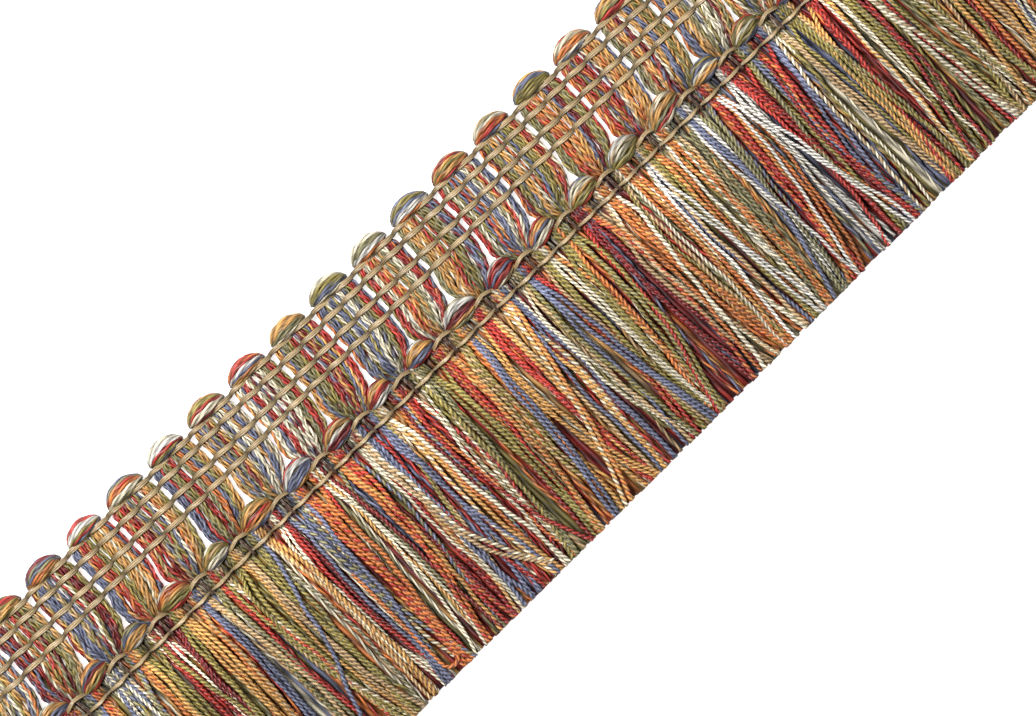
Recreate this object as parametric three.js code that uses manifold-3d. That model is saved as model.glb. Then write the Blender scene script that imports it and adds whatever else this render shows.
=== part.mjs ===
// A cut length of brush fringe, lying face up on a flat surface. Sizes are in millimetres.
// X runs along the trim, Y from the cut skirt up to the looped edge, and Z up from the surface.
// The looped heading is one woven piece: every thick yarn bundle climbs from a neck, turns in a
// round loop at the top edge and comes back beside itself, and small loops bridge the necks.
// Four threads cross the heading and two bind the strip that the skirt's yarn locks hang from.
import * as THREE from "three";
import { mergeVertices } from "three/addons/utils/BufferGeometryUtils.js";
import Module from "manifold-3d";

const wasm = await Module();
wasm.setup();

// Driving dimensions
const TRIM_WIDTH = 70; // from the top of the loops to the cut ends of the skirt
const LOOP_PITCH = 10.6;
const LOOPS = 24;
const CLEARANCE = 0.3; // between neighbouring solids

const TOP = TRIM_WIDTH / 2;
const LENGTH = LOOPS * LOOP_PITCH;
const loopCentre = (i) => (i - (LOOPS - 1) / 2) * LOOP_PITCH;

// Heading bundles
const LEG_WIDTH = 4.4;
const LEG_THICK = 2.2;
const LOOP_THICK = 3.4;
const LOOP_BUNDLE = 3.7; // width of the bundle where it turns
const TURN_RADIUS = 2.45; // of the bundle's middle line round the loop
const TURN_Y = TOP - TURN_RADIUS - LOOP_BUNDLE / 2;
const TURN_STEPS = 6;
const NECK_Y = 9.9;
const NECK_SHIFT = -1.6; // the bundles lean, so the necks stand left of the loops
const BUNDLE_SIDES = 6;

// One leg of a bundle, from its neck up to where it starts to turn: a row for each bend.
// off is the distance of its middle line from the loop's centre line, which shifts by
// lean times NECK_SHIFT.
const LEG_STATIONS = [
  { y: NECK_Y, off: 0.65, lean: 1, width: 1.4, thick: 1.9 },
  { y: 12.7, off: 1.6, lean: 0.9, width: 3.1, thick: 2.2 },
  { y: 15.2, off: 2.25, lean: 0.65, width: 4.2, thick: 2.3 },
  { y: 21.4, off: LOOP_PITCH / 4, lean: 0, width: LEG_WIDTH, thick: LEG_THICK },
];

// Small plump loops, each bridging two necks
const BRIDGE_LENGTH = 8.6;
const BRIDGE_WIDTH = 4.7;
const BRIDGE_THICK = 3.2;
const BRIDGE_SIDES = 6;
const BRIDGE_RINGS = 5;
const BRIDGE_Y = NECK_Y + BRIDGE_WIDTH / 2;

// Threads that cross the heading: a row for each, from the loops down. Each clears bundles
// that stand over millimetres high, and dips between two legs.
const THREAD = 0.9;
const THREAD_SIDES = 4;
const HEADING_THREADS = [
  { y: 31.4, over: 2.8, dip: 0.2 },
  { y: 28.6, over: LEG_THICK, dip: 0.8 },
  { y: 24.9, over: LEG_THICK, dip: 0.8 },
  { y: 21.6, over: LEG_THICK, dip: 0.8 },
];

// Strip that holds the skirt's yarns, with its two straight binding threads
const STRIP_TOP = NECK_Y - CLEARANCE;
const STRIP_FOOT = 7.1;
const STRIP_THICK = 3.1;
const STRIP_THREADS = [
  { y: 10.8, over: BRIDGE_THICK },
  { y: 7.8, over: STRIP_THICK },
];

// Skirt of yarn locks. Their tips lean in waves that gather them: a row for each wave.
const LOCKS_PER_LAYER = 5 * LOOPS;
const LOCK_PITCH = LENGTH / LOCKS_PER_LAYER;
const LOCK_WIDTH = 1.75;
const LOCK_TIP_WIDTH = 1.35;
const LOCK_STEPS = 2;
const LOCK_ROOT = 1; // how far a lock reaches into the strip
const TIP_UNEVENNESS = 0.6;
const TIP_WAVES = [
  { locks: 8, reach: 0.45 },
  { locks: 24, reach: 0.5 },
];
// The lower layer lies on the surface and the upper one over it, half a lock along.
const SKIRT_LAYERS = [
  { low: 0, thick: 1.4, shift: 0, phase: 0 },
  { low: 1.7, thick: 1.4, shift: 0.5, phase: 0.8 },
];

const GIMP = { color: 0x8f7458, roughness: 0.55, metalness: 0 };
const SKIRT = { color: 0x93775a, roughness: 0.5, metalness: 0 };
const BINDER = { color: 0xa78d68, roughness: 0.4, metalness: 0 };

function toManifold(geometry) {
  const bare = geometry.clone();
  bare.deleteAttribute("normal");
  bare.deleteAttribute("uv");
  const merged = mergeVertices(bare, 1e-4);
  return new wasm.Manifold(
    new wasm.Mesh({
      numProp: 3,
      vertProperties: merged.attributes.position.array,
      triVerts: new Uint32Array(merged.index.array),
    }),
  );
}

function toGeometry(solid) {
  const mesh = solid.getMesh();
  const geometry = new THREE.BufferGeometry();
  geometry.setAttribute("position", new THREE.BufferAttribute(mesh.vertProperties, 3));
  geometry.setIndex(new THREE.BufferAttribute(mesh.triVerts, 1));
  geometry.computeVertexNormals();
  return geometry;
}

function joined(solids) {
  if (solids.length === 1) return solids[0];
  const half = solids.length >> 1;
  return joined(solids.slice(0, half)).add(joined(solids.slice(half)));
}

const fused = (geometries) => toGeometry(joined(geometries.map(toManifold)));

// A yarn bundle lying on the surface: a closed tube, flat underneath, with a ring at each
// station {x, y, width, thick}.
function bundle(stations) {
  const rings = stations.length - 1;
  const turned = Math.PI / BUNDLE_SIDES;
  const flatSide = Math.cos(turned);
  const tube = new THREE.CylinderGeometry(1, 1, rings, BUNDLE_SIDES, rings, false, turned);
  const middle = stations.map(({ x, y }) => new THREE.Vector2(x, y));
  const place = tube.attributes.position;
  for (let v = 0; v < place.count; v++) {
    const ring = Math.round(place.getY(v) + rings / 2);
    const { x, y, width, thick } = stations[ring];
    const way = middle[Math.min(ring + 1, rings)].clone();
    way.sub(middle[Math.max(ring - 1, 0)]).normalize();
    const across = (place.getX(v) * width) / 2;
    const up = (place.getZ(v) * thick) / 2 / flatSide;
    place.setXYZ(v, x + way.y * across, y - way.x * across, thick / 2 + up);
  }
  return tube;
}

// One bundle: up from its neck, round the top loop, and down to the same neck.
function topLoop(centre) {
  const leg = (side) =>
    LEG_STATIONS.map(({ y, off, lean, width, thick }) => ({
      x: centre + NECK_SHIFT * lean + side * off,
      y,
      width,
      thick,
    }));
  const turn = Array.from({ length: TURN_STEPS + 1 }, (_, k) => {
    const angle = Math.PI * (1 - k / TURN_STEPS);
    const bulge = Math.sin(angle);
    return {
      x: centre + TURN_RADIUS * Math.cos(angle),
      y: TURN_Y + TURN_RADIUS * bulge,
      width: THREE.MathUtils.lerp(LEG_WIDTH, LOOP_BUNDLE, bulge),
      thick: THREE.MathUtils.lerp(LEG_THICK, LOOP_THICK, bulge),
    };
  });
  return bundle([...leg(-1), ...turn, ...leg(1).reverse()]);
}

// A small loop between two necks: a plump spindle along the trim.
function bridgeLoop(centre) {
  const spindle = new THREE.SphereGeometry(0.5, BRIDGE_SIDES, BRIDGE_RINGS);
  spindle.rotateZ(Math.PI / 2);
  spindle.scale(BRIDGE_LENGTH, BRIDGE_WIDTH, BRIDGE_THICK);
  spindle.translate(centre, BRIDGE_Y, BRIDGE_THICK / 2);
  return spindle;
}

function heading() {
  const parts = [];
  for (let i = 0; i < LOOPS; i++) {
    parts.push(topLoop(loopCentre(i)));
    if (i < LOOPS - 1) parts.push(bridgeLoop(loopCentre(i) + NECK_SHIFT + LOOP_PITCH / 2));
  }
  return fused(parts);
}

// A thread along the whole trim, lying over what stands over millimetres high.
function thread({ y, over }, steps) {
  const turned = Math.PI / THREAD_SIDES;
  const radius = THREAD / 2 / Math.cos(turned);
  const rod = new THREE.CylinderGeometry(radius, radius, LENGTH, THREAD_SIDES, steps, false, turned);
  rod.rotateZ(Math.PI / 2);
  rod.translate(0, y, over + CLEARANCE + THREAD / 2);
  return rod;
}

// Four steps to a loop: the thread is highest over each leg and lowest between two.
function headingThread(row) {
  const rod = thread(row, 4 * LOOPS);
  const place = rod.attributes.position;
  for (let v = 0; v < place.count; v++) {
    const step = Math.round((place.getX(v) + LENGTH / 2) / (LOOP_PITCH / 4));
    const overLeg = step % 2 === 1;
    place.setZ(v, place.getZ(v) + CLEARANCE - (overLeg ? 0 : row.dip));
  }
  return rod;
}

// One lock of skirt yarns, from inside the strip to its cut tip.
function lock(index, { low, thick, shift, phase }) {
  const root = -LENGTH / 2 + (index + 0.5 + shift) * LOCK_PITCH;
  const lean = TIP_WAVES.reduce(
    (sum, { locks, reach }) => sum + reach * Math.sin((index * 2 * Math.PI) / locks + phase),
    0,
  );
  const tip = -TOP + TIP_UNEVENNESS * Math.abs(Math.sin(2.4 * index));
  const strand = new THREE.BoxGeometry(1, 1, 1, 1, LOCK_STEPS, 1);
  const place = strand.attributes.position;
  for (let v = 0; v < place.count; v++) {
    const down = 0.5 - place.getY(v);
    const width = THREE.MathUtils.lerp(LOCK_WIDTH, LOCK_TIP_WIDTH, down);
    place.setXYZ(
      v,
      root + lean * down * down + place.getX(v) * width,
      THREE.MathUtils.lerp(STRIP_FOOT + LOCK_ROOT, tip, down),
      low + (place.getZ(v) + 0.5) * thick,
    );
  }
  return strand;
}

function skirt() {
  const strip = new THREE.BoxGeometry(LENGTH, STRIP_TOP - STRIP_FOOT, STRIP_THICK);
  strip.translate(0, (STRIP_TOP + STRIP_FOOT) / 2, STRIP_THICK / 2);
  const parts = [strip];
  for (const layer of SKIRT_LAYERS) {
    const locks = LOCKS_PER_LAYER - Math.ceil(layer.shift);
    for (let index = 0; index < locks; index++) parts.push(lock(index, layer));
  }
  return fused(parts);
}

function named(name, geometry, finish) {
  const mesh = new THREE.Mesh(geometry, new THREE.MeshStandardMaterial(finish));
  mesh.name = name;
  return mesh;
}

const trim = new THREE.Group();
trim.add(named("heading", heading(), GIMP));
HEADING_THREADS.forEach((row, i) => {
  trim.add(named(`heading_thread_${i + 1}`, headingThread(row), BINDER));
});
STRIP_THREADS.forEach((row, i) => {
  trim.add(named(`strip_thread_${i + 1}`, thread(row, 1), BINDER));
});
trim.add(named("fringe", skirt(), SKIRT));

export default trim;
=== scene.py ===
import math

import bpy
import numpy as np
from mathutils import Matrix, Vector


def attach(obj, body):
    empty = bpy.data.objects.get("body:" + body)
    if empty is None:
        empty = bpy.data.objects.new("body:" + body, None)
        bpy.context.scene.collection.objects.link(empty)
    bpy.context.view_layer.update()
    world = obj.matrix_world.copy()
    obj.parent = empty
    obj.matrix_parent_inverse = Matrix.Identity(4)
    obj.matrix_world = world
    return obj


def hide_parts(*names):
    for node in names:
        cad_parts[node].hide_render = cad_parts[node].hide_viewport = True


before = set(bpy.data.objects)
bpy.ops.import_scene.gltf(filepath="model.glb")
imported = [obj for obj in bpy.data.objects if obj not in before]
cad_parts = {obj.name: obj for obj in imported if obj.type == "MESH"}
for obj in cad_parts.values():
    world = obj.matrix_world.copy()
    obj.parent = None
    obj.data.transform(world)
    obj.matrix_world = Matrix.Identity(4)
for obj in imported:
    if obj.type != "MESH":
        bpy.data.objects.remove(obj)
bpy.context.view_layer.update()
chance = np.random.default_rng(11)

# The heading's bundles. Each is a soft skein of two-ply viscose yarns in several dyes. It
# climbs from its neck, turns over at the top edge and comes back beside itself to the same
# neck. Crossing threads hold its legs flat, and below the last thread they fan loosely.
PITCH = 10.6  # all lengths here are in millimetres, and go into the meshes as metres
LOOPS = 24
LENGTH = PITCH * LOOPS
TOP = 35.0  # the loops reach up to y = TOP, and the skirt is cut at -TOP
LEG_WIDTH = 4.75
LEG_YARNS = 9
LEG_FOOT = 9.6
GIMP_THICK = 0.64
GIMP_TURN = 3.9
COVERED_THICK = 1.15
COVERED_LEVEL = 0.58
NECK_SHIFT = -1.6
THREAD_ROWS = (31.3, 28.7, 24.9, 21.6)
DYES = {
    "red": "b2382e",
    "wine": "7c2727",
    "gold": "d39d58",
    "orange": "cc773d",
    "olive": "948547",
    "sage": "89825c",
    "slate": "6d7189",
    "cream": "e6dbbf",
    "white": "dfdad0",
    "tan": "c0a075",
    "khaki": "ad946b",
    "brown": "4c3526",
}
PARTNERS = {  # the dyes that twist together in one yarn
    "red": ["orange", "wine"],
    "wine": ["red", "slate"],
    "gold": ["tan", "orange", "cream"],
    "orange": ["gold", "red"],
    "olive": ["sage", "olive", "tan"],
    "sage": ["olive", "slate"],
    "slate": ["sage", "slate"],
    "cream": ["sage", "cream", "tan"],
    "white": ["cream", "white"],
    "tan": ["cream", "gold"],
}
GIMP_DYES = ["red", "gold", "olive", "slate", "cream", "sage", "orange", "wine"]
GIMP_SHARES = [0.18, 0.17, 0.15, 0.16, 0.12, 0.1, 0.06, 0.06]
# From the neck up: y, how far the leg's middle is from the loop's, its share of the lean, and
# its width.
LEG_BENDS = np.array([
    (9.4, 0.55, 1.0, 1.4),
    (11.4, 0.9, 1.0, 2.0),
    (13.2, 1.7, 0.95, 3.8),
    (15.4, 2.35, 0.72, 5.15),
    (18.2, 2.5, 0.38, 5.5),
    (21.6, 2.5, 0.0, LEG_WIDTH),
    (32.4, 2.5, 0.0, LEG_WIDTH),
])
# A two-ply yarn's section, which is wider than it is high and so shows the twist. A plain
# round one is for single strands and for yarns that others cover.
TWO_PLY = np.array([(0.9, 0.46), (0.9, -0.46), (0.0, -0.7), (-0.9, -0.46), (-0.9, 0.46), (0.0, 0.7)])
SIDES = len(TWO_PLY)
ROUND = np.array([(math.cos(-a), math.sin(-a)) for a in np.arange(SIDES) * math.pi / 3])
CROWN = 1 / 12  # how far round the section the first ply's crown is; the other is opposite


def dyed(name, vary=0.15):
    """A dye as linear red, green and blue, a little lighter or darker from yarn to yarn."""
    mixed = np.array([int(DYES[name][k : k + 2], 16) / 255 for k in (0, 2, 4)])
    linear = np.where(mixed < 0.04045, mixed / 12.92, ((mixed + 0.055) / 1.055) ** 2.4)
    return linear * math.exp(chance.normal(0, vary))


def two_tone(name, mixed=0.3, dull_and_shade=1.0):
    """A yarn's two plies: mostly of one dye, at times of two that go together, both dimmed by
    the last argument, which on yarns that lie under others is painted shade.
    """
    other = name if chance.random() > mixed else chance.choice(PARTNERS[name])
    return dull_and_shade * dyed(name), dull_and_shade * dyed(other)


def unit(rows):
    return rows / np.linalg.norm(rows, axis=1, keepdims=True)


class Skein:
    """Yarns that make one mesh. Each is a closed tube of its own."""

    def __init__(self):
        self.rings, self.dyes, self.faces, self.spots, self.fibres = [], [], [], [], []
        self.size = 0

    def lay(self, path, thick, turn, plies, hand=1, steps=5, section=TWO_PLY, shade=None):
        """A yarn along a path, whose two plies wind round each other once in each turn. Steps is
        how many rings a turn has."""
        path = np.asarray(path, float)
        run = np.concatenate([[0], np.cumsum(np.linalg.norm(np.diff(path, axis=0), axis=1))])
        count = max(3, int(run[-1] * steps / turn) + 1)
        along = np.linspace(0, run[-1], count)
        line = np.stack([np.interp(along, run, path[:, k]) for k in range(3)], axis=1)
        way = unit(np.gradient(line, axis=0))
        side = unit(np.cross(way, (0, 0, 1)))
        up = np.cross(side, way)
        angle = chance.uniform(0, 2 * math.pi) + hand * 2 * math.pi * along / turn
        cos, sin = np.cos(angle)[:, None], np.sin(angle)[:, None]
        fat = np.interp(along, run, thick)[:, None] if np.ndim(thick) else thick
        a, b = (fat * part / 2 for part in section.T)
        across, above = a * cos - b * sin, a * sin + b * cos
        rings = line[:, None] + across[..., None] * side[:, None] + above[..., None] * up[:, None]
        one, other = plies
        between = (one + other) / 2
        round_it = np.array([one, one, between, other, other, between])
        drift_and_shade = 1 + 0.12 * np.sin(along / chance.uniform(2, 7) + chance.uniform(0, 6))
        # Shade, where given, is painted light and shade, multiplied into the yarn's colours.
        if shade is not None:
            drift_and_shade = drift_and_shade * np.interp(along, run, shade)
        self.rings.append(rings.reshape(-1, 3))
        self.dyes.append((drift_and_shade[:, None, None] * round_it).reshape(-1, 3))

        ring, k = np.meshgrid(np.arange(count - 1), np.arange(SIDES), indexing="ij")
        ring, k = ring.ravel(), k.ravel()
        here, after = ring * SIDES + k, ring * SIDES + (k + 1) % SIDES
        walls = np.stack([here, after, after + SIDES, here + SIDES], axis=1)
        left, low = k / SIDES, ring / (count - 1)
        right, high = left + 1 / SIDES, low + 1 / (count - 1)
        spots = np.stack([left, low, right, low, right, high, left, high], axis=1).reshape(-1, 4, 2)
        # A twisted wall is split across its first corner, so that corner follows the twist's hand.
        walls, spots = np.roll(walls, hand < 0, axis=1), np.roll(spots, hand < 0, axis=1)
        last = SIDES * (count - 1)
        ends = np.array([(3, 2, 1, 0), (5, 4, 3, 0), (last, last + 1, last + 2, last + 3),
                         (last, last + 3, last + 4, last + 5)])
        self.faces.append(self.size + np.concatenate([walls, ends]))
        # The ends sit on the first ply's crown in the fibre map: lighter cut fibres, drawn with that
        # crown's painted highlight.
        tips = np.array([[(0.02, v), (0.14, v), (0.14, v + 0.01), (0.02, v + 0.01)]
                         for v in (0, 0, 0.99, 0.99)])
        spots = np.concatenate([spots, tips])
        self.spots.append(spots)
        self.fibres.append(spots * (1, along[-1]) + chance.integers(0, 500, 2))
        self.size += SIDES * count

    def piece(self, name, finish):
        """The skein as a mesh object, with its dyes and the painted shade laid on them, its fibres'
        run and, for the bake, an even map with a tall strip for each yarn."""
        faces, corners = np.concatenate(self.faces), 4 * sum(len(f) for f in self.faces)
        mesh = bpy.data.meshes.new(name)
        mesh.vertices.add(self.size)
        mesh.vertices.foreach_set("co", (np.concatenate(self.rings) / 1000).ravel())
        mesh.loops.add(corners)
        mesh.loops.foreach_set("vertex_index", faces.ravel())
        mesh.polygons.add(len(faces))
        mesh.polygons.foreach_set("loop_start", np.arange(0, corners, 4))
        mesh.polygons.foreach_set("use_smooth", np.ones(len(faces), bool))
        dye = mesh.attributes.new("dye", "FLOAT_COLOR", "POINT")
        colours = np.ones((self.size, 4))
        colours[:, :3] = np.concatenate(self.dyes)
        dye.data.foreach_set("color", colours.ravel())
        fibre = mesh.uv_layers.new(name="Fibre")
        fibre.uv.foreach_set("vector", np.concatenate(self.fibres).ravel())
        rows = 4
        columns = math.ceil(len(self.spots) / rows)
        strips = [
            ((i % columns + 0.06, i // columns + 0.02) + s * (0.88, 0.96)) / (columns, rows)
            for i, s in enumerate(self.spots)
        ]
        strip = mesh.uv_layers.new(name="OFBake")
        strip.uv.foreach_set("vector", np.concatenate(strips).ravel())
        mesh.materials.append(finish)
        mesh.update(calc_edges=True)
        piece = bpy.data.objects.new(name, mesh)
        bpy.context.collection.objects.link(piece)
        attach(piece, "root")
        return piece


class Wire:
    """A shader socket. Sums of wires and numbers add their own Math nodes."""

    def __init__(self, tree, socket=None):
        self.tree, self.socket = tree, socket

    def node(self, kind, settings, sockets, out=0):
        made = self.tree.nodes.new("ShaderNode" + kind)
        for name, value in settings.items():
            setattr(made, name, value)
        for name, value in sockets.items():
            if isinstance(value, Wire):
                self.tree.links.new(value.socket, made.inputs[name])
            else:
                made.inputs[name].default_value = value
        return Wire(self.tree, made.outputs[out]) if len(made.outputs) else made

    def maths(self, operation, one, other):
        return self.node("Math", {"operation": operation}, {0: one, 1: other})

    def __add__(self, other):
        return self.maths("ADD", self, other)

    __radd__ = __add__

    def __sub__(self, other):
        return self.maths("SUBTRACT", self, other)

    def __rsub__(self, other):
        return self.maths("SUBTRACT", other, self)

    def __mul__(self, other):
        return self.maths("MULTIPLY", self, other)

    __rmul__ = __mul__

    def cosine(self):
        return self.node("Math", {"operation": "COSINE"}, {0: self})


def yarn_finish(name, roughness, groove_shade, lustre):
    """Spun viscose: the yarn's dye, with painted shade in the groove between its plies and a painted
    highlight along each ply's crown, streaked along its fibres, with a satin lustre."""
    material = bpy.data.materials.new(name)
    material.use_nodes = True
    tree = material.node_tree
    tree.nodes.clear()
    wire = Wire(tree)
    dye = wire.node("Attribute", {"attribute_name": "dye"}, {})
    run = wire.node("UVMap", {"uv_map": "Fibre"}, {})
    stretched = wire.node("VectorMath", {"operation": "MULTIPLY"}, {0: run, 1: (14.0, 0.6, 1.0)})
    streaks = wire.node("TexNoise", {"noise_dimensions": "2D"},
                        {"Vector": stretched, "Scale": 1.0, "Detail": 2.0, "Roughness": 0.6})
    patches = wire.node("TexNoise", {"noise_dimensions": "2D"},
                        {"Vector": run, "Scale": 0.5, "Detail": 1.0})
    round_it = wire.node("SeparateXYZ", {}, {"Vector": run})
    crown = 0.5 + 0.5 * ((4 * math.pi) * (round_it - CROWN)).cosine()
    # Painted light and shade: lighter on each ply's crown, darker in the groove between the plies.
    ply_light_and_streaks = (1 - groove_shade + groove_shade * crown) * (0.6 + 0.9 * streaks + 0.3 * patches)
    grey = wire.node("CombineColor", {}, {0: ply_light_and_streaks, 1: ply_light_and_streaks, 2: ply_light_and_streaks})
    colour = wire.node("Mix", {"data_type": "RGBA", "blend_type": "MULTIPLY"},
                       {"Factor": 1.0, "A": dye, "B": grey}, out="Result")
    height = crown + 0.12 * streaks
    bump = wire.node("Bump", {}, {"Strength": 0.6, "Distance": 0.0001, "Height": height})
    shader = wire.node("BsdfPrincipled", {}, {
        "Base Color": colour,
        "Roughness": roughness + 0.1 * (streaks - 0.5),
        "Normal": bump,
        "Specular IOR Level": lustre,
    })
    wire.node("OutputMaterial", {}, {"Surface": shader})
    return material


gimp_finish = yarn_finish("gimp yarn", 0.46, 0.68, 0.5)


def loop_middle(i):
    return (i - (LOOPS - 1) / 2) * PITCH


def leg_path(i, side, across, high, loose, spread, lowest):
    """A yarn's way up one leg. Across is its place, from -0.5 to 0.5, high its level, loose its
    waviness in the fan and spread how much wider the fan is. It goes no lower than lowest."""
    y = np.arange(LEG_FOOT, 32.2, 0.3)
    off, lean, width = (np.interp(y, LEG_BENDS[:, 0], LEG_BENDS[:, k]) for k in (1, 2, 3))
    fan = np.clip((21.0 - y) / 3, 0, 1) * np.clip((y - 10) / 4, 0, 1)
    sway = np.sin(2 * math.pi * y / chance.uniform(5, 9) + chance.uniform(0, 6))
    x = loop_middle(i) + NECK_SHIFT * lean + side * off + across * width * (1 + spread * fan)
    x = x + sway * (0.1 + loose * fan)
    # In the fan a leg parts into two plump strands with a furrow between them.
    in_strand = 2 * (across % 0.5) - 0.5
    x = x - 0.06 * fan * in_strand * width
    pressed = sum(np.exp(-(((y - row) / 0.6) ** 2)) for row in THREAD_ROWS)
    crown = 1 - 0.55 * ((1 - fan) * (2 * across) ** 2 + 1.6 * fan * (2 * in_strand) ** 2)
    z = high * (0.62 + 0.38 * crown) - 0.34 * pressed
    rise = np.sin(2 * math.pi * y / chance.uniform(6, 10) + chance.uniform(0, 6))
    z = z + (0.12 + 0.25 * fan) * rise
    z = z * (0.55 + 0.45 * np.clip((y - LEG_FOOT) / 4, 0, 1))
    # Both legs tuck in under their loop at the top edge.
    tucked = np.clip((y - 30.4) / 1.6, 0, 1)
    x = loop_middle(i) + (x - loop_middle(i)) * (1 - 0.27 * tucked)
    z = z - 0.5 * tucked
    kernel = np.ones(5) / 5
    x[2:-2] = np.convolve(x, kernel, "valid")
    return np.stack([x, y, np.maximum(z, lowest)], axis=1)


bundle_yarns = Skein()
for i in range(LOOPS):
    for side in (-1, 1):
        names = chance.choice(GIMP_DYES, LEG_YARNS, p=GIMP_SHARES)
        spread = chance.uniform(-0.12, 0.08)
        for j in range(LEG_YARNS):
            name = names[j - 1] if j and chance.random() < 0.3 else names[j]
            across = (j + 0.5) / LEG_YARNS - 0.5
            path = leg_path(i, side, across, 1.95, 0.12, spread, 0.6 * GIMP_THICK)
            y = path[:, 1]
            plies = two_tone(name, 0.4, dull_and_shade=0.88)
            fuller = 1 + 0.22 * np.clip((21 - y) / 3, 0, 1) * np.clip((y - 11) / 3, 0, 1)
            thick = GIMP_THICK * chance.uniform(0.92, 1.08) * fuller
            # Painted shade: a leg darkens under each crossing thread and towards its neck.
            under_thread = sum(np.exp(-(((y - row) / 0.55) ** 2)) for row in THREAD_ROWS)
            shade = (1 - 0.4 * under_thread) * np.interp(y, (10, 13.5, 17), (0.3, 0.6, 0.97))
            bundle_yarns.lay(path, thick, GIMP_TURN, plies, hand=chance.choice((-1, 1)), steps=6,
                             shade=shade)
bundles = bundle_yarns.piece("bundle_yarns", gimp_finish)

covered_yarns = Skein()
for i in range(LOOPS):
    for side in (-1, 1):
        for across in (-0.36, -0.12, 0.12, 0.36):
            path = leg_path(i, side, across, 0.85, 0.15, 0.0, COVERED_LEVEL)
            name = chance.choice(GIMP_DYES, p=GIMP_SHARES)
            # These yarns lie under the legs; their dimmer dye is painted shade.
            covered_yarns.lay(path, COVERED_THICK, 12, two_tone(name, dull_and_shade=0.6), steps=6,
                              section=ROUND)
under_bundles = covered_yarns.piece("bundle_yarns_underneath", gimp_finish)
for piece in (bundles, under_bundles):
    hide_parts("heading")

# The loops at the top edge, where each bundle turns over on itself. Seen from above its
# yarns run along the trim in arcs, drawn together at both ends, so each loop is a plump
# lens of striped yarn that stands on the first crossing thread.
LOOP_YARNS = 16
LOOP_SHOWN = 10  # how many of them show; the others lie at the back
LOOP_THICK = 0.8
LOOP_TURN = 7
LOOP_STRIPES = [  # from the outer arc in, as they lie round the loop
    "red gold olive cream", "gold red cream slate", "olive red slate gold olive",
    "slate wine sage orange gold", "red red white olive slate", "cream slate orange cream sage",
    "olive cream white red slate", "red gold olive red cream wine",
    "orange red red white slate gold", "cream cream gold gold sage cream",
    "sage cream olive slate cream", "olive cream sage white orange",
    "slate slate olive slate white orange", "cream red olive gold slate",
    "cream gold cream orange red slate", "gold slate olive olive",
    "olive red cream orange cream slate", "slate gold olive red", "gold red slate cream",
    "olive cream gold red", "slate cream red olive", "red gold cream slate",
    "olive gold cream sage", "cream slate gold red",
]


def plump_loop(skein, x, half, middle, radii, ends, stripes, tilt, dull_and_shade):
    """A loop's yarns, from one drawn-in end to the other, all round a core that is painted shade
    inside the loop. Middle and radii are those of its body and ends is where it is drawn in, each as y
    and z."""
    s = np.linspace(-1, 1, 25)
    swell = np.clip(1 - s**2, 0, 1) ** 0.62
    core = np.stack([x + half * 0.9 * s, ends[0] + (middle[0] - ends[0]) * swell,
                     ends[1] + (middle[1] - 0.2 - ends[1]) * swell], axis=1)
    # Painted shade: the core is tan and gold at a third of their brightness.
    skein.lay(core, 1.7 * min(radii) * swell + 0.2, 20, (0.35 * dyed("tan"), 0.35 * dyed("gold")),
              section=ROUND, steps=30)
    for j in range(LOOP_YARNS):
        round_it = math.radians(-25 + 360 * j / LOOP_YARNS) + 0.06 * chance.normal()
        reach = np.array(middle) + np.array(radii) * (math.cos(round_it), math.sin(round_it))
        y = ends[0] + (reach[0] - ends[0]) * swell
        z = ends[1] + (reach[1] - ends[1]) * swell
        path = np.stack([x + half * s, y + tilt * half * s, np.maximum(z, 0.36)], axis=1)
        name = stripes[min(int(j * len(stripes) / 9), len(stripes) - 1)]
        if chance.random() < 0.15:
            name = chance.choice(stripes)
        plies = two_tone(name, 0.2, dull_and_shade)
        steps, section = (8, TWO_PLY) if j < LOOP_SHOWN else (6, ROUND)
        # Painted shade darkens each yarn towards the loop's drawn-in ends.
        skein.lay(path, LOOP_THICK, LOOP_TURN, plies, steps=steps, section=section,
                  shade=0.35 + 0.7 * swell)


turned_yarns = Skein()
for i, stripes in enumerate(LOOP_STRIPES):
    size = chance.uniform(0.95, 1.04)
    plump_loop(turned_yarns, loop_middle(i), 4.05 * size, (33.2, 2.15), (1.5 * size, 1.4),
               (32.2, 1.0), stripes.split(), chance.normal(0, 0.02), dull_and_shade=0.84)
top_loops = turned_yarns.piece("top_loops", gimp_finish)
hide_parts("heading")

# The small loops that bridge two necks, of the same yarn. Each comes out of one neck, swells
# over the strip and goes into the next, and fills the foot of the gap between two fans.
BRIDGE_STRIPES = [  # from the upper edge down
    "gold red cream olive", "cream gold slate red", "gold orange slate red olive red",
    "red olive slate red gold white", "cream gold orange cream olive red",
    "white wine gold olive cream slate", "cream olive gold red orange slate",
    "red red white slate slate gold", "orange red gold white wine slate",
    "white red gold red red white", "slate white gold gold slate red",
    "olive cream white wine gold sage", "olive white red slate red gold",
    "cream red gold slate cream red", "gold slate cream gold olive red",
    "orange white cream olive olive", "orange red gold cream sage cream",
    "white slate olive cream gold slate", "gold red olive cream olive slate",
    "gold cream red slate", "olive cream gold red", "cream gold slate olive",
    "red gold cream olive",
]
bridging_yarns = Skein()
for i, stripes in enumerate(BRIDGE_STRIPES):
    x = loop_middle(i) + NECK_SHIFT + PITCH / 2
    size = chance.uniform(0.86, 1.12)
    plump_loop(bridging_yarns, x, 3.6 * size, (12.4, 2.0), (1.9 * size, 1.6),
               (11.6, 1.1), stripes.split(), chance.normal(0.12, 0.09), dull_and_shade=0.66)
bridge_loops = bridging_yarns.piece("bridge_loops", gimp_finish)
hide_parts("heading")

# The crossing threads: two mates of tan mercerised cotton, each of three fine strands, that
# twine along the heading. One floats over a leg while the other runs under it, and they
# cross in the gap before the next leg.
STRAND = 0.44
STRAND_TURN = 6.2
LEG_PITCH = PITCH / 2
thread_finish = yarn_finish("binding thread", 0.4, 0.25, 0.8)


def along_trim(step):
    return np.arange(-LENGTH / 2, LENGTH / 2 + step / 2, step)


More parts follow.
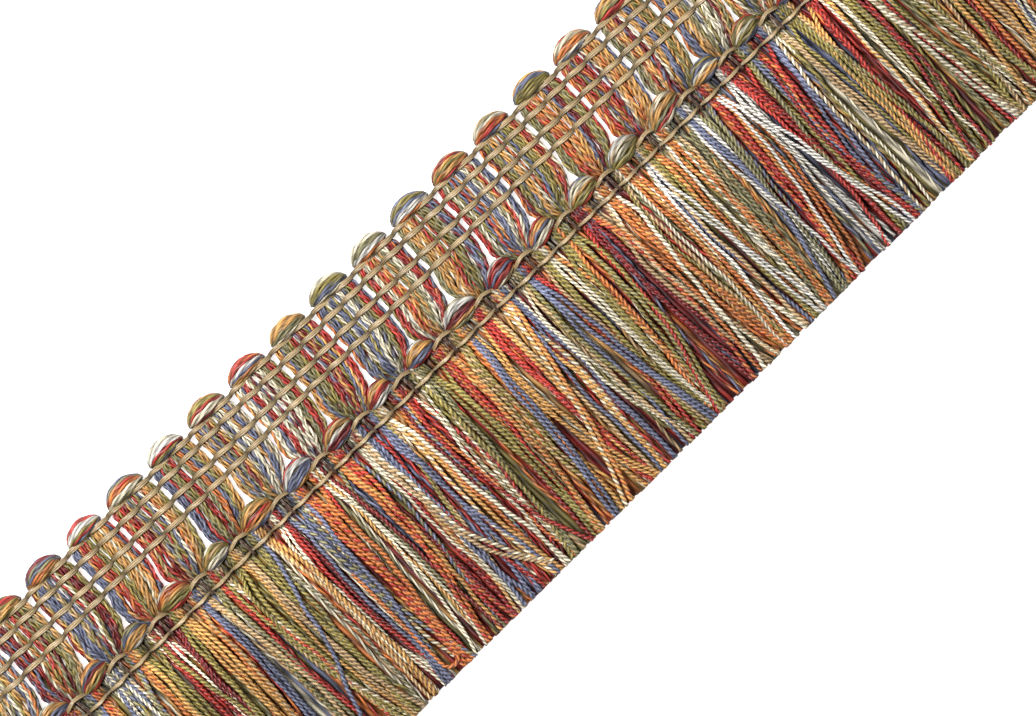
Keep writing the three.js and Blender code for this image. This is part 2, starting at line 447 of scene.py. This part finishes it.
for row, y in enumerate(THREAD_ROWS):
    threads = Skein()
    x = along_trim(0.25)
    wander = 0.12 * np.sin(2 * math.pi * x / 47 + row * 1.9)
    under_loop = np.zeros_like(x)
    if row == 0:
        from_loop = ((x / PITCH) % 1 - 0.5) * PITCH
        under_loop = 0.75 * np.exp(-(((from_loop + 1.2) / 1.9) ** 4))
    for mate in (0, 1):
        phase = math.pi * (x / LEG_PITCH - 0.5 + mate)
        over = np.sign(np.cos(phase)) * np.abs(np.cos(phase)) ** 0.5
        above = np.maximum(over, 0)
        for place in (-1, 0, 1):
            high = 1.38 + (1.06 - under_loop) * over - 0.07 * abs(place)
            slant = -0.17 * np.sin(phase) * (over > 0)
            path = np.stack([x, y + wander + slant + place * (0.16 + 0.17 * above), high], axis=1)
            # Painted shade: the outer strands are darker than the middle one, and each strand darkens
            # where it dips under a leg.
            khaki = dyed("khaki", 0.05) * (1.0 if place == 0 else 0.85)
            threads.lay(path, STRAND, STRAND_TURN, (khaki, khaki * 0.9), section=ROUND,
                        shade=0.25 + 0.75 * above**2)
    piece = threads.piece(f"crossing_thread_{row + 1}", thread_finish)
    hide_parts(f"heading_thread_{row + 1}")

# The two binding threads of the strip, of finer tan cotton. The upper one rises over each
# neck and runs behind the bridging loops. The lower one floats over each group of skirt
# yarns. A brown tie holds each neck down between them.
UPPER_ROW, LOWER_ROW = 10.7, 8.1
BINDER_STRAND = 0.33
BINDER_TURN = 5.5
TIE_THICK = 0.3
TIE_TURN = 3.0
NECKS = [loop_middle(i) + NECK_SHIFT for i in range(LOOPS)]


def from_neck(x):
    """How far along from the nearest neck."""
    return (x - NECKS[0] + PITCH / 2) % PITCH - PITCH / 2


x = along_trim(0.3)
away = from_neck(x)
over_neck = np.exp(-(((away + 0.6) / 2.5) ** 4))
arch = 0.9 * np.exp(-(((away + 0.2) / 2.1) ** 2))
upper = Skein()
for place in (-1, 0, 1):
    path = np.stack([x, UPPER_ROW + arch + place * 0.22, 1.1 + 2.05 * over_neck], axis=1)
    khaki = dyed("khaki", 0.05)
    # Painted shade darkens the upper thread away from the necks, where it runs behind the bridging
    # loops.
    upper.lay(path, BINDER_STRAND, BINDER_TURN, (khaki, khaki * 0.9), section=ROUND,
              shade=0.3 + 0.5 * over_neck)
for neck in NECKS:
    y = np.arange(7.2, 12.2, 0.4)
    for place in (-0.14, 0.14):
        path = np.stack([neck + place + 0.08 * np.sin(y), y, 2.2 + 0.3 * np.sin((y - 7) * 0.6)], axis=1)
        brown = dyed("brown", 0.1)
        upper.lay(path, TIE_THICK, TIE_TURN, (brown, brown), section=ROUND)
lower = Skein()
window = np.abs(np.sin(math.pi * away / LEG_PITCH))
for place in (-1, 0, 1):
    y = LOWER_ROW - 0.22 * window**2 + place * (0.08 + 0.12 * window)
    path = np.stack([x, y, 1.6 + 1.5 * window**0.5], axis=1)
    khaki = dyed("khaki", 0.05)
    # Painted shade darkens the lower thread where it dips between the groups.
    lower.lay(path, BINDER_STRAND, BINDER_TURN, (khaki, khaki * 0.9), section=ROUND,
              shade=0.25 + 0.75 * window)
for row, threads in enumerate((upper, lower)):
    piece = threads.piece(f"strip_binding_{row + 1}", thread_finish)
    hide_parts(f"strip_thread_{row + 1}")

# The skirt: the bundles' yarns run on through the strip, where they bulge between its two
# threads, and hang as a brush three layers deep, cut straight. Yarns of one dye lie in
# ribbons that part, lean together and cross towards the tips.
SKIRT_THICK = 0.92
BACK_THICK = 1.36
BACK_LEVEL = 0.7
skirt_finish = yarn_finish("skirt yarn", 0.46, 0.76, 0.45)
SKIRT_DYES = [  # one row of dyes for each loop, as they follow each other along the strip
    "red cream slate gold olive", "cream red slate olive orange", "red cream slate orange cream",
    "cream slate orange olive cream", "red cream wine olive gold red",
    "slate cream red olive olive", "gold olive cream gold cream", "red slate gold orange cream",
    "cream slate red orange cream", "orange slate slate olive gold red",
    "red cream olive olive gold", "red gold slate gold red",
    "orange tan gold red slate white olive", "slate red gold olive cream tan orange",
    "orange olive red wine slate tan orange", "gold red olive cream orange white slate",
    "cream olive white olive cream sage slate", "slate white sage red orange slate white",
    "red wine orange olive slate red slate", "cream olive slate slate gold red",
    "gold cream olive red sage", "olive cream slate olive red", "cream wine slate gold orange",
    "olive gold cream red slate",
]


def skirt_path(root, lean, level, bow=0.0, gather=0.4, sway=0.3, end=-TOP, late=1.3,
               lowest=SKIRT_THICK / 2):
    """A yarn's way down: through a window of the strip above root, then leaning to its tip. A
    high late bends it near the tip alone."""
    y = np.arange(11.2, end - 0.01, -0.5)
    y[-1] = end
    down = np.clip((7.2 - y) / (7.2 + TOP), 0, 1)
    from_window = from_neck(root) % LEG_PITCH - LEG_PITCH / 2
    free = np.clip((8.0 - y) / 6, 0, 1)
    free = free * free * (3 - 2 * free)
    x = root - gather * from_window * (1 - free) + lean * down**late + bow * np.sin(math.pi * down)
    x = x + sway * free * np.sin(y / chance.uniform(3, 7) + chance.uniform(0, 6))
    x = x + sway / 3 * free * np.sin(y / chance.uniform(1, 2) + chance.uniform(0, 6))
    bulge = np.exp(-(((y - 9.4) / 1.0) ** 2))
    at_strip = min(level, 2.2) * (0.85 - 0.3 * (2 * from_window / LEG_PITCH) ** 2) + 0.45 * bulge
    z = at_strip + (level - at_strip) * np.clip(free * 1.6, 0, 1)
    z = z + sway / 2 * free * np.sin(y / chance.uniform(4, 8) + chance.uniform(0, 6))
    return np.stack([x, y, np.maximum(z, lowest)], axis=1)


def repeat_at(root):
    """Which repeat of the trim root lies in."""
    return min(int((root + LENGTH / 2) / PITCH), LOOPS - 1)


def clump(root):
    """How far the skirt as a whole leans to one side at root, so that its tips bunch and part."""
    sway = 1.5 * math.sin(root / 5.3 + 0.6) + 1.4 * math.sin(root / 2.6 + 2) + 0.9 * math.sin(root / 13)
    return sway * min(1, (LENGTH / 2 - abs(root)) / 6)


def strip_shade_and_fade(path, root, strip=0.75):
    """Painted shade on a skirt yarn in the strip, most of all beside a neck or a leg's edge and
    under the two binding threads; lighter where the skirt leaves the strip, and darker lower down."""
    beside = abs(2 * (from_neck(root) % LEG_PITCH) / LEG_PITCH - 1) ** 4
    strip = strip * (1 - 0.5 * beside)
    fade_and_shade = np.interp(path[:, 1], (-20, -6, 4, 6.5, 7.8, 9.3, 10.8),
                      (0.8, 0.92, 1.4, 1.2, 0.6, 1.05, 0.45))
    return fade_and_shade * np.interp(path[:, 1], (6, 7.5), (1, strip))


def hang_layer(name, spans, step, levels, leaning, widest, dull_and_shade, strip, gather, turn, steps):
    """A layer of the skirt, in ribbons of like yarns, with one piece for each span of the trim."""
    edges = np.linspace(-LENGTH / 2 + 0.4, LENGTH / 2 - 0.4, spans + 1)
    for n, (start, stop) in enumerate(zip(edges, edges[1:])):
        skein = Skein()
        left = 0
        for root in np.arange(start + step / 2, stop, step):
            if left == 0:
                dyes = SKIRT_DYES[repeat_at(root)].split()
                through = ((root + LENGTH / 2) / PITCH) % 1
                ribbon_dye = dyes[int(through * len(dyes))]
                if chance.random() < 0.2:
                    ribbon_dye = chance.choice(["red", "cream", "olive", "wine", "gold"])
                left = chance.integers(1, 3 if ribbon_dye in ("slate", "cream", "white") else widest + 1)
                ribbon_level = chance.choice(levels)
                ribbon_lean, ribbon_bow = chance.normal(0, leaning), chance.normal(0, 1.0)
                late = chance.uniform(1.2, 2.2)
                hand = chance.choice((1, 1, 1, 1, -1))
            left -= 1
            # The yarns nearest to either end of the trim lean inward.
            near_end = LENGTH / 2 - abs(root) < 4
            lean = clump(root) + (-math.copysign(abs(ribbon_lean), root) if near_end else ribbon_lean)
            dye = chance.choice(PARTNERS[ribbon_dye]) if chance.random() < 0.3 else ribbon_dye
            path = skirt_path(root, lean + chance.normal(0, 0.55),
                              ribbon_level + chance.normal(0, 0.15),
                              ribbon_bow + chance.normal(0, 0.25), gather,
                              end=-TOP + abs(chance.normal(0, 0.25)), late=late)
            thick = SKIRT_THICK * chance.uniform(0.78, 1.06)
            thick = thick * (0.82 if dye in ("cream", "white") else 1)
            plies = two_tone(dye, dull_and_shade=dull_and_shade)
            skein.lay(path, thick, turn * chance.uniform(0.92, 1.1), plies, hand, steps,
                      shade=strip_shade_and_fade(path, root, strip))
        piece = skein.piece(f"{name}_{n + 1}", skirt_finish)
        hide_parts("fringe")


hang_layer("skirt_face", 3, 0.8, levels=(3.15, 2.95, 2.7, 2.5), leaning=2.2, widest=3, dull_and_shade=0.95,
           strip=0.9, gather=0.32, turn=2.3, steps=5)
# The middle layer's dimmer dye and darker strip are painted shade under the face.
hang_layer("skirt_middle", 2, 1.1, levels=(2.05, 1.75), leaning=1.2, widest=3, dull_and_shade=0.8,
           strip=0.5, gather=0.0, turn=6.6, steps=6)

# The back layer is closed, in thicker plain yarns that the other layers cover.
covered_skirt = Skein()
for root in np.arange(-LENGTH / 2 + 0.7, LENGTH / 2 - 0.6, 1.05):
    path = skirt_path(root, 0, BACK_LEVEL, gather=0.0, sway=0.06,
                      end=-TOP + chance.uniform(0, 0.4), lowest=0.69)
    dyes = SKIRT_DYES[repeat_at(root)].split() + ["red", "wine", "olive", "orange", "wine"]
    # The back yarns' dimmer dye and darker strip are painted shade under the other layers.
    covered_skirt.lay(path, BACK_THICK, 16, two_tone(chance.choice(dyes), dull_and_shade=0.6), steps=6,
                      section=ROUND, shade=strip_shade_and_fade(path, root, 0.35))
skirt_back = covered_skirt.piece("skirt_back", skirt_finish)
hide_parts("fringe")

# Stray yarns that lie over the skirt, out of line with it: a slate yarn and a gold pair that
# slant across, a tan pair that bends away near its tips, and others.
STRAY_LEVEL = 3.6
STRAY_TURN = 2.2
STRAYS = [  # where it leaves the strip, where its tip lies, its dye, how many, how late it bends
    (-57.5, -69.5, "slate", 1, 1.3),
    (5.5, -4.5, "gold", 2, 1.3),
    (-31.5, -19.5, "tan", 2, 4.0),
    (-34.5, -40.5, "orange", 1, 1.3),
    (-27.0, -22.0, "slate", 1, 2.0),
    (-3.2, -7.4, "slate", 2, 0.9),
    (-23.8, -19.5, "cream", 1, 1.3),
    (12.0, 17.5, "slate", 2, 1.3),
    (-46.5, -50.5, "slate", 1, 1.3),
    (35.0, 31.0, "cream", 1, 1.3),
    (41.3, 46.0, "white", 2, 1.3),
    (41.0, 39.3, "white", 1, 1.3),
    (52.5, 56.0, "white", 1, 1.3),
    (61.5, 69.5, "white", 2, 1.3),
    (60.5, 55.5, "white", 1, 2.0),
    (-84.0, -78.0, "olive", 1, 1.3),
    (92.0, 97.0, "cream", 2, 1.3),
    (-96.0, -101.0, "slate", 1, 1.3),
    (105.0, 101.0, "gold", 1, 1.3),
]
stray_yarns = Skein()
for root, tip, name, yarns, late in STRAYS:
    for k in range(yarns):
        end = -TOP + (2.5 if late > 3 else 0.2)
        path = skirt_path(root + 0.9 * k, tip - root, STRAY_LEVEL, 0.3, end=end, late=late)
        thick = 0.7 if name == "white" else 0.9
        stray_yarns.lay(path, thick, STRAY_TURN, two_tone(name, 0.35), shade=strip_shade_and_fade(path, root))
# One orange yarn was missed by the shears: it still turns back up in a small loop.
UNCUT_THICK = 0.85
UNCUT_LEVEL = 3.5
down = np.array([(-49.6, y, UNCUT_LEVEL) for y in np.arange(-8, -31.6, -0.6)])
down[:12, 2] = np.linspace(2.2, UNCUT_LEVEL, 12)
bend = np.radians(np.arange(180, 361, 15))
turn_back = np.stack([-47.8 + 1.8 * np.cos(bend), -31.6 + 1.6 * np.sin(bend),
                      np.full_like(bend, UNCUT_LEVEL)], axis=1)
back_up = np.array([(-46.0 - 0.05 * k, -31 + 0.6 * k, UNCUT_LEVEL - 0.1 * k) for k in range(10)])
uncut = np.concatenate([down, turn_back, back_up])
stray_yarns.lay(uncut, UNCUT_THICK, STRAY_TURN, two_tone("orange", 0))
strays = stray_yarns.piece("stray_yarns", skirt_finish)
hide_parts("fringe")

# The surface under the trim: plain and white.
FLOOR_HALF = 1.5  # metres, from here on
floor_mesh = bpy.data.meshes.new("floor")
corners = [(-FLOOR_HALF, -FLOOR_HALF, 0), (FLOOR_HALF, -FLOOR_HALF, 0),
           (FLOOR_HALF, FLOOR_HALF, 0), (-FLOOR_HALF, FLOOR_HALF, 0)]
floor_mesh.from_pydata(corners, [], [(0, 1, 2, 3)])
floor_white = bpy.data.materials.new("white surface")
floor_white.use_nodes = True
white = floor_white.node_tree.nodes["Principled BSDF"]
white.inputs["Base Color"].default_value = (0.9, 0.9, 0.9, 1)
white.inputs["Roughness"].default_value = 0.8
white.inputs["Emission Color"].default_value = (1, 1, 1, 1)
white.inputs["Emission Strength"].default_value = 0.75
floor_mesh.materials.append(floor_white)
floor = bpy.data.objects.new("floor", floor_mesh)
floor.location.z = -0.0002
bpy.context.collection.objects.link(floor)


# A large soft light from the picture's left, a weaker one from its right, and a pale room
# all round.
def soft_light(name, place, size, power):
    lamp = bpy.data.lights.new(name, "AREA")
    lamp.shape = "DISK"
    lamp.size = size
    lamp.energy = power
    light = bpy.data.objects.new(name, lamp)
    light.location = place
    light.rotation_euler = (-Vector(place)).to_track_quat("-Z", "Y").to_euler()
    bpy.context.collection.objects.link(light)


soft_light("key light", (-0.25, 0.45, 0.95), 0.4, 16.5)
soft_light("fill light", (0.7, -0.3, 0.8), 0.6, 2.5)
world = bpy.data.worlds.new("pale room")
world.use_nodes = True
world.node_tree.nodes["Background"].inputs["Color"].default_value = (1, 1, 1, 1)
world.node_tree.nodes["Background"].inputs["Strength"].default_value = 0.3
bpy.context.scene.world = world

# The camera looks straight down. The picture is turned, so that the trim runs from its lower
# left to its upper right.
CAMERA_HEIGHT = 1.0
PICTURE_WIDTH = 0.1919
SENSOR_WIDTH = 36
TRIM_SLOPE = 44.8
camera_data = bpy.data.cameras.new("camera")
camera_data.sensor_width = SENSOR_WIDTH
camera_data.lens = SENSOR_WIDTH * CAMERA_HEIGHT / PICTURE_WIDTH
camera = bpy.data.objects.new("camera", camera_data)
camera.location = (0.0002, -0.0013, CAMERA_HEIGHT)
camera.rotation_euler = (0, 0, -math.radians(TRIM_SLOPE))
bpy.context.collection.objects.link(camera)
bpy.context.scene.camera = camera
bpy.context.scene.view_settings.view_transform = "Standard"
